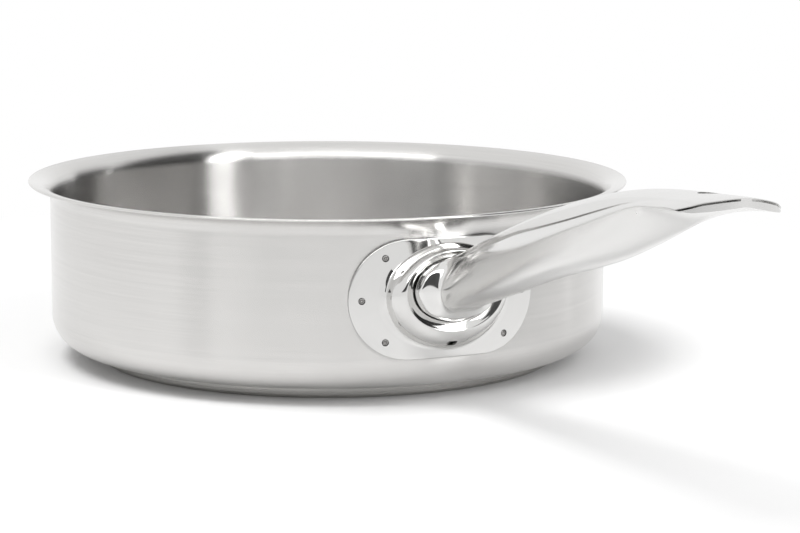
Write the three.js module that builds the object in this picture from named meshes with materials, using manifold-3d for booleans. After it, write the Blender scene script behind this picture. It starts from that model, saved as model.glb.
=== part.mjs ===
// Stainless steel saute pan: spun body, sandwich base, and a pressed tube handle on a welded plate.
// Millimetres, +Z up. The pan stands on z = 0 about the Z axis and its handle runs along +X.
import * as THREE from 'three';
import { mergeVertices } from 'three/addons/utils/BufferGeometryUtils.js';
import Module from 'manifold-3d';

const wasm = await Module();
wasm.setup();

// Clearance left between neighbouring pieces.
const GAP = 0.3;

// Pan body: one sheet with a rounded corner below and a flared pouring lip above.
const WALL_RADIUS = 121;
const BODY_SHEET = 1;
const BODY_BOTTOM = 5.6;
const CORNER_RADIUS = 14.3;
const RIM_HEIGHT = 78;
const RIM_RADIUS = 130.4;
const LIP_RADIUS = 7;
const LIP_TILT = THREE.MathUtils.degToRad(12);
const LIP_STEPS = 5;
const CORNER_STEPS = 7;
const ROUND_SEGMENTS = 60;

// Sandwich base: an aluminium disc held in a thin magnetic steel cap.
const BASE_RADIUS = 100.5;
const BASE_EDGE = 1.4;
const CAP_SHEET = 0.6;
const CAP_STEPS = 4;

// Handle plate: a rounded oblong pressed up into an oval boss with a seat for the handle.
const PLATE_HEIGHT = 44;
const PLATE_HALF_WIDTH = 41;
const PLATE_HALF_HEIGHT = 24.5;
const PLATE_SHEET = 1.5;
const PLATE_OUT = GAP + PLATE_SHEET;
const SEAT_OUT = 6.7;
const PLATE_POINTS = 44;
const BOSS_STEPS = 10;
const DRAIN_WIDTH = 4.6;
const DRAIN_HEIGHT = 1.5;
const DRAIN_HEIGHT_AT = 25.9;
const DRAIN_OUT = 5;
const DRAIN_TILT = THREE.MathUtils.degToRad(14);
const DRAIN_CUT = 9;

// Pressed boss in profile, from its foot over its crest to its seat: half width, half height,
// lift of its middle over the plate's middle, and distance off the wall.
const BOSS_PROFILE = [
  [26.8, 21.7, 0.7, PLATE_OUT],
  [26.0, 21.0, 0.9, 2.5],
  [24.7, 19.8, 1.6, 5.0],
  [23.4, 18.5, 2.5, 7.3],
  [21.9, 16.7, 3.4, 8.8],
  [20.7, 15.4, 3.8, 8.6],
  [19.4, 14.1, 4.1, 8.1],
  [18.2, 13.1, 4.2, 7.5],
  [17.95, 12.9, 4.2, 7.1],
  [17.6, 12.6, 4.2, SEAT_OUT],
  [16.5, 11.5, 4.2, SEAT_OUT],
];
const [BOSS_FOOT, , , , BOSS_CREST] = BOSS_PROFILE;

// Spot welds of the plate, as sideways and upward distances from its middle.
const WELD_RADIUS = 1.15;
const WELD_DIMPLE = 0.4;
const WELD_DIMPLE_SHARE = 0.55;
const WELD_RECESS = 0.1;
const WELD_SEGMENTS = 16;
const PLATE_WELDS = [[-26.2, 17], [-35.6, 0], [-26.2, -17], [26.2, -17], [35.6, 0], [26.2, 17]];

// Handle: a tube whose section changes from an oval flange to a fluted grip and a flat arched end.
const HANDLE_SHEET = 1.3;
const HANDLE_ACROSS = 3;
const HANDLE_ALONG = 23;
const HANDLE_ROOT_CUTS = 9;
const HANDLE_CROWDING = 0.35;
const CROWN_EDGE = 0.85;
const CROWN_SOFT = 0.66;
const CROWN_FIRM = 0.42;
const CREASE_SHARE = 0.85;
const CREASE_SPANS = [1, 2, 9, 10];
const KEEL_SHARE = 0.9;
const KEEL_SPANS = [5, 6];
const FLANK_SHARE = 0.8;
const SIDE_CORNER = 4;
const FLANGE_STANDOFF = 0.7;
const FLANGE_BACK = WALL_RADIUS + SEAT_OUT + FLANGE_STANDOFF;
const FLANGE_HALF_WIDTH = 17.7;
const FLANGE_HALF_HEIGHT = 12.7;
const FLANGE_HEIGHT = 48.2;

// Welds between flange and seat, as angles round the flange.
const FLANGE_WELD_RADIUS = 0.9;
const FLANGE_WELD_INSET = 1.25;
const FLANGE_WELD_SLACK = 0.1;
const FLANGE_WELD_ANGLES = [40, 140, 220, 320];

// The handle's end is turned a little about its length, between these two distances.
const END_TURN = THREE.MathUtils.degToRad(3);
const END_TURN_FROM = 255;
const END_TURN_TO = 335;

// Handle end: rounded in plan, with a hanging eye above and a slit between the two sheets.
const TIP_CORNER = 330;
const TIP_REACH = 345.5;
const TIP_HALF_WIDTH = 21;
const TIP_OVERRUN = 352;
const TIP_STEPS = 14;
const TALL = 200;
const HOLE_AT = 321.5;
const HOLE_RADIUS = 3.7;
const HOLE_SEGMENTS = 24;
const SLIT_START = 331;
const SLIT_DEPTH = 0.3;
const SLIT_HEIGHT = 0.7;
const SLIT_INWARD = 6;
const SLIT_BRIDGE = 4.2;
const SLIT_SPACING = 2;

// Plan of the hollow inside the handle, as distances along it and half widths.
const HOLLOW_PLAN = [[100, 20], [265, 13.2], [290, 12.6], [316, 11.5], [328, 8], [336, 2]];

// An oval handle section of the flange, grown or shrunk all round by a margin.
function flangeStation(x, margin) {
  const width = FLANGE_HALF_WIDTH + margin;
  const height = FLANGE_HALF_HEIGHT + margin;
  const fluteAngle = THREE.MathUtils.degToRad(50);
  const edgeAngle = THREE.MathUtils.degToRad(30);
  return {
    x,
    top: FLANGE_HEIGHT + height,
    fluteY: width * Math.cos(fluteAngle),
    fluteZ: FLANGE_HEIGHT + height * Math.sin(fluteAngle),
    edgeY: width * Math.cos(edgeAngle),
    edgeZ: FLANGE_HEIGHT + height * Math.sin(edgeAngle),
    width,
    side: FLANGE_HEIGHT,
    flank: FLANGE_HEIGHT - height * Math.sqrt(1 - FLANK_SHARE ** 2),
    bottom: FLANGE_HEIGHT - height,
  };
}

const SECTION_FIELDS = ['top', 'fluteY', 'fluteZ', 'edgeY', 'edgeZ', 'width', 'side', 'flank', 'bottom'];

// One section of the grip, with its values in the order of SECTION_FIELDS.
function gripStation(x, ...values) {
  return { x, ...Object.fromEntries(SECTION_FIELDS.map((field, i) => [field, values[i]])) };
}

// Handle sections from flange to end.
const HANDLE_STATIONS = [
  flangeStation(FLANGE_BACK, -0.35),
  flangeStation(FLANGE_BACK + 0.3, 0),
  flangeStation(FLANGE_BACK + 1.1, 0),
  flangeStation(FLANGE_BACK + 2.3, -0.5),
  gripStation(133.0, 63.0, 10.0, 58.8, 13.8, 55.5, 15.9, 49.1, 40.2, 37.4),
  gripStation(134.1, 63.4, 8.2, 59.7, 11.4, 56.3, 13.4, 49.3, 41.0, 38.8),
  gripStation(135.3, 63.8, 6.6, 60.5, 9.3, 56.9, 11.4, 49.3, 41.8, 40.2),
  gripStation(137.2, 64.5, 5.2, 61.6, 7.6, 57.4, 10.3, 49.4, 42.8, 41.4),
  gripStation(142, 66.4, 3.9, 63.4, 6.3, 58.4, 9.9, 50.2, 44.2, 42.9),
  gripStation(148, 68.9, 3.3, 65.6, 5.8, 61.4, 9.8, 53.2, 46.4, 44.6),
  gripStation(156, 72.0, 3.6, 68.4, 6.3, 65.8, 9.9, 57.4, 49.6, 46.7),
  gripStation(170, 77.2, 4.6, 72.8, 8.8, 69.8, 10.6, 64.0, 54.4, 51.3),
  gripStation(193, 85.2, 6.4, 80.0, 11.2, 74.8, 11.9, 70.6, 62.2, 58.9),
  gripStation(218, 93.2, 8.4, 86.2, 12.5, 81.6, 12.9, 78.6, 70.4, 66.8),
  gripStation(242, 99.8, 10.4, 92.2, 13.5, 88.8, 13.7, 86.4, 78.0, 73.6),
  gripStation(265, 105.1, 12.4, 98.2, 14.3, 95.6, 14.4, 93.8, 86.6, 80.6),
  gripStation(288, 108.8, 13.2, 104.0, 15.0, 102.6, 15.4, 101.4, 96.6, 89.2),
  gripStation(302, 110.3, 14.0, 106.6, 15.6, 105.8, 16.4, 105.0, 101.7, 94.8),
  gripStation(316, 111.3, 14.8, 108.3, 16.6, 107.3, 17.8, 106.35, 105.8, 100.5),
  gripStation(330, 112.2, 16.4, 109.4, 18.3, 108.6, 19.8, 107.75, 106.7, 106.3),
  gripStation(339, 112.8, 16.8, 109.7, 18.8, 108.8, 20.8, 107.75, 107.3, 109.05),
  gripStation(352, 113.2, 16.8, 109.9, 19.0, 109.0, 21.4, 107.6, 107.9, 110.8),
];

// How far the crown has dropped at its edge: soft at the flange and the end, firm along the grip.
function crownShare(x) {
  const { smoothstep } = THREE.MathUtils;
  const ends = 1 - smoothstep(x, 130, 150) + smoothstep(x, 250, 320);
  return THREE.MathUtils.lerp(CROWN_FIRM, CROWN_SOFT, ends);
}

// How straight a span of the section runs: the flute's sides along the grip, the keel at the end.
function straightShare(span, x) {
  const { smoothstep } = THREE.MathUtils;
  const grip = smoothstep(x, 140, 162) * (1 - smoothstep(x, 262, 312));
  if (CREASE_SPANS.includes(span)) return CREASE_SHARE * grip;
  if (KEEL_SPANS.includes(span)) return KEEL_SHARE * smoothstep(x, 285, 320);
  return 0;
}

// Turns any closed geometry into a solid, leaving out triangles that have no area.
function toSolid(geometry) {
  const bare = new THREE.BufferGeometry();
  bare.setAttribute('position', geometry.getAttribute('position'));
  if (geometry.index) bare.setIndex(geometry.index);
  const merged = mergeVertices(bare, 1e-4);
  const triVerts = [];
  for (let i = 0; i < merged.index.count; i += 3) {
    const [a, b, c] = [0, 1, 2].map((k) => merged.index.getX(i + k));
    if (a !== b && b !== c && c !== a) triVerts.push(a, b, c);
  }
  const vertProperties = new Float32Array(merged.attributes.position.array);
  const mesh = new wasm.Mesh({ numProp: 3, vertProperties, triVerts: new Uint32Array(triVerts) });
  return new wasm.Manifold(mesh);
}

// Makes the named mesh of one finished solid.
function toMesh(name, solid, material) {
  const data = solid.getMesh();
  const geometry = new THREE.BufferGeometry();
  geometry.setAttribute('position', new THREE.BufferAttribute(Float32Array.from(data.vertProperties), 3));
  geometry.setIndex(new THREE.BufferAttribute(Uint32Array.from(data.triVerts), 1));
  geometry.computeVertexNormals();
  const mesh = new THREE.Mesh(geometry, material);
  mesh.name = name;
  return mesh;
}

// A round piece turned about the Z axis from radius and height points.
function turned(points, segments = ROUND_SEGMENTS) {
  const geometry = new THREE.LatheGeometry(points, segments);
  geometry.rotateX(Math.PI / 2);
  return toSolid(geometry);
}

// Points along a circular arc in the radius and height plane, from one angle to another in degrees.
function arc(radius, height, size, from, to, steps) {
  const points = [];
  for (let i = 0; i <= steps; i += 1) {
    const angle = THREE.MathUtils.degToRad(from + ((to - from) * i) / steps);
    points.push(new THREE.Vector2(radius + size * Math.cos(angle), height + size * Math.sin(angle)));
  }
  return points;
}

// Skins a row of closed loops with the same number of points and closes both ends.
function skin(loops) {
  const count = loops[0].length;
  const positions = [];
  const index = [];
  for (const loop of loops) for (const point of loop) positions.push(point.x, point.y, point.z);
  for (let row = 0; row + 1 < loops.length; row += 1) {
    for (let i = 0; i < count; i += 1) {
      const a = row * count + i;
      const b = row * count + ((i + 1) % count);
      index.push(a, b, a + count, b, b + count, a + count);
    }
  }
  const closeEnd = (start, loop, flip) => {
    const middle = positions.length / 3;
    const centre = loop.reduce((sum, point) => sum.add(point), new THREE.Vector3()).divideScalar(count);
    positions.push(centre.x, centre.y, centre.z);
    for (let i = 0; i < count; i += 1) {
      const a = start + i;
      const b = start + ((i + 1) % count);
      if (flip) index.push(middle, a, b);
      else index.push(middle, b, a);
    }
  };
  closeEnd(0, loops[0], false);
  closeEnd((loops.length - 1) * count, loops[loops.length - 1], true);
  const geometry = new THREE.BufferGeometry();
  geometry.setAttribute('position', new THREE.Float32BufferAttribute(positions, 3));
  geometry.setIndex(index);
  return toSolid(geometry);
}

// The body sheet's outline on one side, a given distance inside the outer face.
function bodyFace(inset) {
  const lipStart = RIM_HEIGHT - (LIP_RADIUS + BODY_SHEET) * Math.cos(LIP_TILT);
  const lipCentre = WALL_RADIUS + LIP_RADIUS;
  const lipEnd = 90 + THREE.MathUtils.radToDeg(LIP_TILT);
  const straight = RIM_RADIUS - lipCentre;
  const drop = straight * Math.sin(LIP_TILT);
  const points = [new THREE.Vector2(0, BODY_BOTTOM + inset)];
  const cornerCentre = [WALL_RADIUS - CORNER_RADIUS, BODY_BOTTOM + CORNER_RADIUS];
  points.push(...arc(...cornerCentre, CORNER_RADIUS - inset, -90, 0, CORNER_STEPS));
  points.push(...arc(lipCentre, lipStart - drop, LIP_RADIUS + inset, 180, lipEnd, LIP_STEPS));
  const edge = points[points.length - 1];
  points.push(new THREE.Vector2(edge.x + straight + LIP_RADIUS * Math.sin(LIP_TILT), edge.y + drop));
  return points;
}

// The spun body with its floor, wall and pouring lip.
function panBody() {
  const outside = bodyFace(0);
  const inside = bodyFace(BODY_SHEET);
  return turned([...outside, ...inside.reverse()]);
}

// The aluminium heat-spreading disc, hidden between the pan floor and the steel cap.
function baseCore() {
  const rim = BASE_RADIUS - CAP_SHEET - GAP;
  const low = CAP_SHEET + GAP;
  const high = BODY_BOTTOM - GAP;
  return turned([
    new THREE.Vector2(0, low),
    new THREE.Vector2(rim - BASE_EDGE, low),
    new THREE.Vector2(rim, low + BASE_EDGE),
    new THREE.Vector2(rim, high),
    new THREE.Vector2(0, high),
  ]);
}

// The magnetic steel cap that wraps the disc and makes the underside.
function baseCap() {
  const high = BODY_BOTTOM - GAP;
  const centre = [BASE_RADIUS - BASE_EDGE, BASE_EDGE];
  const inner = BASE_RADIUS - CAP_SHEET;
  return turned([
    new THREE.Vector2(0, 0),
    ...arc(...centre, BASE_EDGE, -90, 0, CAP_STEPS),
    new THREE.Vector2(BASE_RADIUS, high),
    new THREE.Vector2(inner, high),
    ...arc(...centre, BASE_EDGE - CAP_SHEET, 0, -90, CAP_STEPS),
    new THREE.Vector2(0, CAP_SHEET),
  ]);
}

// A place on the plate: sideways and upward from its middle, standing off the wall, flat or following it.
function onPlate(side, up, out, flat) {
  const radius = WALL_RADIUS + out;
  const angle = side / WALL_RADIUS;
  const x = THREE.MathUtils.lerp(radius * Math.cos(angle), radius, flat);
  const y = THREE.MathUtils.lerp(radius * Math.sin(angle), side, flat);
  return new THREE.Vector3(x, y, PLATE_HEIGHT + up);
}

// The plate's outer boundary at an angle seen from its middle.
function plateEdge(angle) {
  const straight = PLATE_HALF_WIDTH - PLATE_HALF_HEIGHT;
  const c = Math.cos(angle);
  const s = Math.sin(angle);
  const level = PLATE_HALF_HEIGHT / Math.abs(s);
  if (Math.abs(s) > 1e-6 && level * Math.abs(c) <= straight) return [level * c, level * s];
  const reach = straight * Math.abs(c);
  const length = reach + Math.sqrt(reach ** 2 - straight ** 2 + PLATE_HALF_HEIGHT ** 2);
  return [length * c, length * s];
}

// One closed ring of the pressed boss, flat at its crest and following the wall at its foot.
function bossRing([halfWidth, halfHeight, lift, out]) {
  const inside = BOSS_FOOT[0] - halfWidth;
  const flat = THREE.MathUtils.smoothstep(inside, 0, BOSS_FOOT[0] - BOSS_CREST[0]);
  const ring = [];
  for (let i = 0; i < PLATE_POINTS; i += 1) {
    const angle = (2 * Math.PI * i) / PLATE_POINTS;
    ring.push(onPlate(halfWidth * Math.cos(angle), lift + halfHeight * Math.sin(angle), out, flat));
  }
  return ring;
}

// A ring of the plate's level part, a share of the way from its boundary to the foot of the boss.
function levelRing(share, out) {
  const ring = [];
  for (let i = 0; i < PLATE_POINTS; i += 1) {
    const angle = (2 * Math.PI * i) / PLATE_POINTS;
    const [side, up] = plateEdge(angle);
    const footSide = BOSS_FOOT[0] * Math.cos(angle);
    const footUp = BOSS_FOOT[2] + BOSS_FOOT[1] * Math.sin(angle);
    const lerp = THREE.MathUtils.lerp;
    ring.push(onPlate(lerp(side, footSide, share), lerp(up, footUp, share), out, 0));
  }
  return ring;
}

// The rings of the boss, from its foot to its seat, at a depth under its outer face.
function bossRows(depth) {
  const sizes = new THREE.SplineCurve(BOSS_PROFILE.map(([width, height]) => new THREE.Vector2(width, height)));
  const places = new THREE.SplineCurve(BOSS_PROFILE.map(([, , lift, out]) => new THREE.Vector2(lift, out)));
  const sides = new THREE.SplineCurve(BOSS_PROFILE.map(([width, , , out]) => new THREE.Vector2(width, out)));
  const rows = [];
  for (let i = 1; i <= BOSS_STEPS; i += 1) {
    const size = sizes.getPoint(i / BOSS_STEPS);
    const place = places.getPoint(i / BOSS_STEPS);
    const along = sides.getTangent(i / BOSS_STEPS);
    const inward = depth * along.y;
    rows.push([size.x - inward, size.y - inward, place.x, place.y + depth * along.x]);
  }
  return rows;
}

// The plate as one sheet: rings over the outer face, then back over the inner face.
function plateSheet() {
  const shares = [0, 0.5, 1];
  const outerRings = shares.map((share) => levelRing(share, PLATE_OUT));
  const innerRings = shares.map((share) => levelRing(share, GAP));
  outerRings.push(...bossRows(0).map(bossRing));
  innerRings.push(...bossRows(PLATE_SHEET).map(bossRing));
  return skin([...innerRings.reverse(), ...outerRings]);
}

// A round pin square to the plate at a weld, between two distances off the wall.
function plugAt(side, up, from, to, radius) {
  const pin = new THREE.CylinderGeometry(radius, radius, to - from, WELD_SEGMENTS);
  pin.rotateZ(Math.PI / 2);
  pin.translate(WALL_RADIUS + (from + to) / 2, 0, PLATE_HEIGHT + up);
  pin.rotateZ(side / WALL_RADIUS);
  return pin;
}

// The plate with its weld seats and the drain slot under the boss.
function handlePlate() {
  let plate = plateSheet();
  for (const [side, up] of PLATE_WELDS) {
    plate = plate.subtract(toSolid(plugAt(side, up, -1, PLATE_OUT + 1, WELD_RADIUS + GAP)));
  }
  const slot = new THREE.BoxGeometry(DRAIN_CUT, DRAIN_WIDTH, DRAIN_HEIGHT);
  slot.rotateY(-DRAIN_TILT);
  slot.translate(WALL_RADIUS + DRAIN_OUT, 0, DRAIN_HEIGHT_AT);
  return plate.subtract(toSolid(slot));
}

// One spot weld of the plate: a plug with a dimpled outer end.
function plateWeld([side, up]) {
  const end = PLATE_OUT - WELD_RECESS;
  const plug = toSolid(plugAt(side, up, GAP / 2, end, WELD_RADIUS));
  const dimple = plugAt(side, up, end - WELD_DIMPLE, end + 1, WELD_RADIUS * WELD_DIMPLE_SHARE);
  return plug.subtract(toSolid(dimple));
}

// A value of the handle stations at a distance along the handle, eased without overshoot.
function stationValue(field, x) {
  const list = HANDLE_STATIONS;
  const last = list.length - 1;
  let i = 0;
  while (i < last - 1 && x > list[i + 1].x) i += 1;
  const grade = (k) => (list[k + 1][field] - list[k][field]) / (list[k + 1].x - list[k].x);
  const slope = (k) => {
    if (k === 0) return grade(0);
    if (k === last) return grade(last - 1);
    const before = grade(k - 1);
    const after = grade(k);
    return before * after <= 0 ? 0 : (2 * before * after) / (before + after);
  };
  const span = list[i + 1].x - list[i].x;
  const t = (x - list[i].x) / span;
  const from = list[i][field] * (1 + 2 * t) * (1 - t) ** 2 + slope(i) * span * t * (1 - t) ** 2;
  const to = list[i + 1][field] * t * t * (3 - 2 * t) + slope(i + 1) * span * t * t * (t - 1);
  return from + to;
}

// The closed handle section at a distance along the handle, drawn towards straight lines at its flutes and keel.
function handleLoop(x, inset) {
  const { lerp } = THREE.MathUtils;
  const values = SECTION_FIELDS.map((field) => stationValue(field, x));
  const [top, fluteY, fluteZ, edgeY, edgeZ, width, side, flank, bottom] = values;
  const half = [
    [0, top],
    [-fluteY * CROWN_EDGE, lerp(top, fluteZ, crownShare(x))],
    [-fluteY, fluteZ],
    [-edgeY, edgeZ],
    [-width, side],
    [-width * FLANK_SHARE, flank],
    [0, bottom],
  ];
  const mirrored = half.slice(1, -1).reverse().map(([y, z]) => [-y, z]);
  const corners = [...half, ...mirrored].map(([y, z]) => new THREE.Vector3(x, y, z));
  const curve = new THREE.CatmullRomCurve3(corners, true, 'centripetal');
  const loop = [];
  corners.forEach((corner, span) => {
    const line = corners[(span + 1) % corners.length].clone().sub(corner);
    const straight = straightShare(span, x);
    for (let i = 0; i < HANDLE_ACROSS; i += 1) {
      const share = i / HANDLE_ACROSS;
      const at = (span + share) / corners.length;
      const place = curve.getPoint(at).lerp(corner.clone().addScaledVector(line, share), straight);
      const along = curve.getTangent(at).lerp(line.clone().normalize(), straight);
      const outward = new THREE.Vector3(0, along.z, -along.y).normalize();
      loop.push(place.addScaledVector(outward, -inset));
    }
  });
  return loop;
}

// Where along the handle its sections are taken: close together at the flange, even beyond it.
function handleCuts() {
  const cuts = HANDLE_STATIONS.slice(0, HANDLE_ROOT_CUTS).map((station) => station.x);
  const start = cuts[cuts.length - 1];
  for (let i = 1; i <= HANDLE_ALONG; i += 1) {
    const share = i / HANDLE_ALONG;
    cuts.push(start + (TIP_OVERRUN - start) * THREE.MathUtils.lerp(share, share * share, HANDLE_CROWDING));
  }
  return cuts;
}

// A tall prism over a plan outline.
function prism(shape) {
  const options = { depth: TALL, bevelEnabled: false, curveSegments: TIP_STEPS };
  return toSolid(new THREE.ExtrudeGeometry(shape, options));
}

// The handle's rounded plan outline as a prism, shrunk by an inset.
function tipTrim(inset) {
  const half = TIP_HALF_WIDTH - inset;
  const reach = TIP_REACH - TIP_CORNER - inset;
  const shape = new THREE.Shape();
  shape.moveTo(0, -half);
  shape.lineTo(TIP_CORNER, -half);
  shape.absellipse(TIP_CORNER, 0, reach, half, -Math.PI / 2, Math.PI / 2, false, 0);
  shape.lineTo(0, half);
  return prism(shape);
}

// The plan of the hollow as a prism, ending where the two sheets come together.
function hollowTrim() {
  const near = HOLLOW_PLAN.map(([x, half]) => new THREE.Vector2(x, -half));
  const far = HOLLOW_PLAN.map(([x, half]) => new THREE.Vector2(x, half)).reverse();
  return prism(new THREE.Shape([...near, ...far]));
}

// The height of the handle's upper face at a place in plan, carried on level beyond its side.
function crownHeight(x, y) {
  const upper = handleLoop(x, 0).slice(0, HANDLE_ACROSS * SIDE_CORNER + 1);
  const next = upper.findIndex((point) => -point.y >= Math.abs(y));
  if (next < 0) return upper[upper.length - 1].z;
  if (next === 0) return upper[0].z;
  const share = (Math.abs(y) + upper[next - 1].y) / (upper[next - 1].y - upper[next].y);
  return THREE.MathUtils.lerp(upper[next - 1].z, upper[next].z, share);
}

// A thin arched sheet under the handle's upper face, used to cut the slit round its end.
function slitSheet() {
  const sides = [];
  const reach = TIP_HALF_WIDTH + SLIT_SPACING;
  for (let y = -reach; y <= reach; y += SLIT_SPACING) sides.push(y);
  const loops = [SLIT_START, (TIP_CORNER + TIP_REACH) / 2, TIP_OVERRUN].map((x) => {
    const low = sides.map((y) => new THREE.Vector3(x, y, crownHeight(x, y) - SLIT_DEPTH - SLIT_HEIGHT));
    const high = low.map((point) => point.clone().setZ(point.z + SLIT_HEIGHT)).reverse();
    return [...low, ...high];
  });
  return skin(loops);
}

// The slit between the handle's upper and lower sheet, open round the end but closed at its middle.
function tipSlit() {
  const bridge = new THREE.BoxGeometry(TIP_HALF_WIDTH, SLIT_BRIDGE, TIP_HALF_WIDTH);
  bridge.translate(TIP_REACH, 0, stationValue('top', TIP_REACH));
  return slitSheet().subtract(tipTrim(SLIT_INWARD)).subtract(toSolid(bridge));
}

// The hollow handle, open at its flange, with a hanging eye in its upper sheet and a slit round its end.
function handle() {
  const cuts = handleCuts();
  const outside = skin(cuts.map((x) => handleLoop(x, 0)));
  const innerLoops = cuts.map((x) => handleLoop(x, HANDLE_SHEET));
  for (const point of innerLoops[0]) point.x -= 1;
  const hollow = skin(innerLoops).intersect(hollowTrim());
  const holeDepth = HANDLE_SHEET * 4;
  const hole = new THREE.CylinderGeometry(HOLE_RADIUS, HOLE_RADIUS, holeDepth, HOLE_SEGMENTS);
  hole.rotateX(Math.PI / 2);
  hole.translate(HOLE_AT, 0, stationValue('top', HOLE_AT));
  return outside.intersect(tipTrim(0)).subtract(hollow).subtract(tipSlit()).subtract(toSolid(hole));
}

// Turns the handle's end a little about its length, as it is on the pan.
function turnEnd(mesh) {
  const places = mesh.geometry.getAttribute('position');
  const point = new THREE.Vector3();
  for (let i = 0; i < places.count; i += 1) {
    point.fromBufferAttribute(places, i);
    const angle = END_TURN * THREE.MathUtils.smoothstep(point.x, END_TURN_FROM, END_TURN_TO);
    const pivot = new THREE.Vector3(point.x, 0, stationValue('top', point.x));
    point.sub(pivot).applyAxisAngle(new THREE.Vector3(1, 0, 0), -angle).add(pivot);
    places.setXYZ(i, point.x, point.y, point.z);
  }
  mesh.geometry.computeVertexNormals();
  return mesh;
}

// One hidden weld between the handle's flange and its seat in the plate.
function flangeWeld(degrees) {
  const angle = THREE.MathUtils.degToRad(degrees);
  const from = WALL_RADIUS + SEAT_OUT + FLANGE_WELD_SLACK;
  const to = FLANGE_BACK - FLANGE_WELD_SLACK;
  const pin = new THREE.CylinderGeometry(FLANGE_WELD_RADIUS, FLANGE_WELD_RADIUS, to - from, WELD_SEGMENTS);
  pin.rotateZ(Math.PI / 2);
  const y = (FLANGE_HALF_WIDTH - FLANGE_WELD_INSET) * Math.cos(angle);
  const z = FLANGE_HEIGHT + (FLANGE_HALF_HEIGHT - FLANGE_WELD_INSET) * Math.sin(angle);
  pin.translate((from + to) / 2, y, z);
  return toSolid(pin);
}

// Each mesh gets a material of its own.
const steel = (color, roughness) => new THREE.MeshStandardMaterial({ color, roughness, metalness: 1 });

const group = new THREE.Group();
group.name = 'saute_pan';
group.add(toMesh('pan_body', panBody(), steel(0xc9c8c5, 0.34)));
group.add(toMesh('base_core', baseCore(), steel(0xb4b6b8, 0.5)));
group.add(toMesh('base_cap', baseCap(), steel(0xb9b8b5, 0.28)));
group.add(toMesh('handle_plate', handlePlate(), steel(0xdcdcda, 0.08)));
group.add(turnEnd(toMesh('handle', handle(), steel(0xd2d2d0, 0.26))));
PLATE_WELDS.forEach((place, i) => {
  group.add(toMesh(`plate_weld_${i + 1}`, plateWeld(place), steel(0x8f8e8b, 0.4)));
});
FLANGE_WELD_ANGLES.forEach((degrees, i) => {
  group.add(toMesh(`flange_weld_${i + 1}`, flangeWeld(degrees), steel(0x9a9996, 0.5)));
});

export default group;
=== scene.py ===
# Stainless steel saute pan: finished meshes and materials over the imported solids.
# Sizes are millimetres in the part's frame, and become metres as each mesh is made.
import math

import bmesh
import bpy
from mathutils import Matrix, Vector


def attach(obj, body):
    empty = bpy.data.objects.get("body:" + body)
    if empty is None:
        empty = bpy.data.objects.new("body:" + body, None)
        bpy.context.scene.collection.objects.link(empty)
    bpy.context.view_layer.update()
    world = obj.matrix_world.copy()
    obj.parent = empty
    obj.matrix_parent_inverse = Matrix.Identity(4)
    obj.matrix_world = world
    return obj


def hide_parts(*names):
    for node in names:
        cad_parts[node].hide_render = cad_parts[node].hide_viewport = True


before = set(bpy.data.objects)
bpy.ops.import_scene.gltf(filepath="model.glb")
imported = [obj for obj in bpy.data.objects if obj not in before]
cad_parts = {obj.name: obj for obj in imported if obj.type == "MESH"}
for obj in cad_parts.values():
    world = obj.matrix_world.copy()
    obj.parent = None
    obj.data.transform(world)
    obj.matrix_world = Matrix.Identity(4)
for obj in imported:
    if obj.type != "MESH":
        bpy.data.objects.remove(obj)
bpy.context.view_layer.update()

# Shared values
MM = 0.001
TINY = 1e-6
SMALLEST_SPAN = 1e-4
QUARTER_TURN = 0.25
GAP = 0.3
BODY = "root"
SHARP_ANGLE = math.radians(40)

# Pan body
WALL_RADIUS = 121
WALL_STEPS = 8
BODY_SHEET = 1
BODY_BOTTOM = 5.6
BODY_BOTTOM_RINGS = (0, 20, 60, 95)
CORNER_RADIUS = 14.3
CORNER_STEPS = 28
RIM_HEIGHT = 78
RIM_RADIUS = 130.4
LIP_RADIUS = 7
LIP_TILT = math.radians(12)
LIP_STEPS = 20
LIP_EDGE_FALL = 0.62
LIP_EDGE_TURN = 6
LIP_EDGE_STEPS = 10
ROUND_SEGMENTS = 288

# Sandwich base
BASE_RADIUS = 100.5
BASE_RINGS = (0, 30, 70, 90)
BASE_EDGE = 1.4
BASE_EDGE_STEPS = 14
CAP_SHEET = 0.6
CAP_CHAMFER = 0.2
CAP_INNER_STEPS = 8

# Handle plate
PLATE_HEIGHT = 44
PLATE_HALF_WIDTH = 41
PLATE_HALF_HEIGHT = 24.5
PLATE_SHEET = 1.5
PLATE_OUT = GAP + PLATE_SHEET
PLATE_EDGE = 0.5
PLATE_EDGE_STEPS = 6
PLATE_FACE_STEPS = 5
PLATE_BACK_STEPS = 4
PLATE_POINTS = 240
SEAT_OUT = 6.7
BOSS_STEPS = 72
BOSS_SLOPE_STEP = 1e-3

# Drain slot under the boss
DRAIN_WIDTH = 4.6
DRAIN_HEIGHT = 1.5
DRAIN_HEIGHT_AT = 25.9
DRAIN_OUT = 5
DRAIN_TILT = math.radians(14)
DRAIN_CUT = 9
DRAIN_END_STEPS = 12

# Pressed boss in profile, from its foot over its crest to its seat:
# half width, half height, lift of the middle over the plate's, and distance off the wall
BOSS_PROFILE = [
    (26.8, 21.7, 0.7, PLATE_OUT),
    (26.0, 21.0, 0.9, 2.5),
    (24.7, 19.8, 1.6, 5.0),
    (23.4, 18.5, 2.5, 7.3),
    (21.9, 16.7, 3.4, 8.8),
    (20.7, 15.4, 3.8, 8.6),
    (19.4, 14.1, 4.1, 8.1),
    (18.2, 13.1, 4.2, 7.5),
    (17.95, 12.9, 4.2, 7.1),
    (17.6, 12.6, 4.2, SEAT_OUT),
    (16.5, 11.5, 4.2, SEAT_OUT),
]
BOSS_FOOT = BOSS_PROFILE[0]
BOSS_CREST = BOSS_PROFILE[4]

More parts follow.
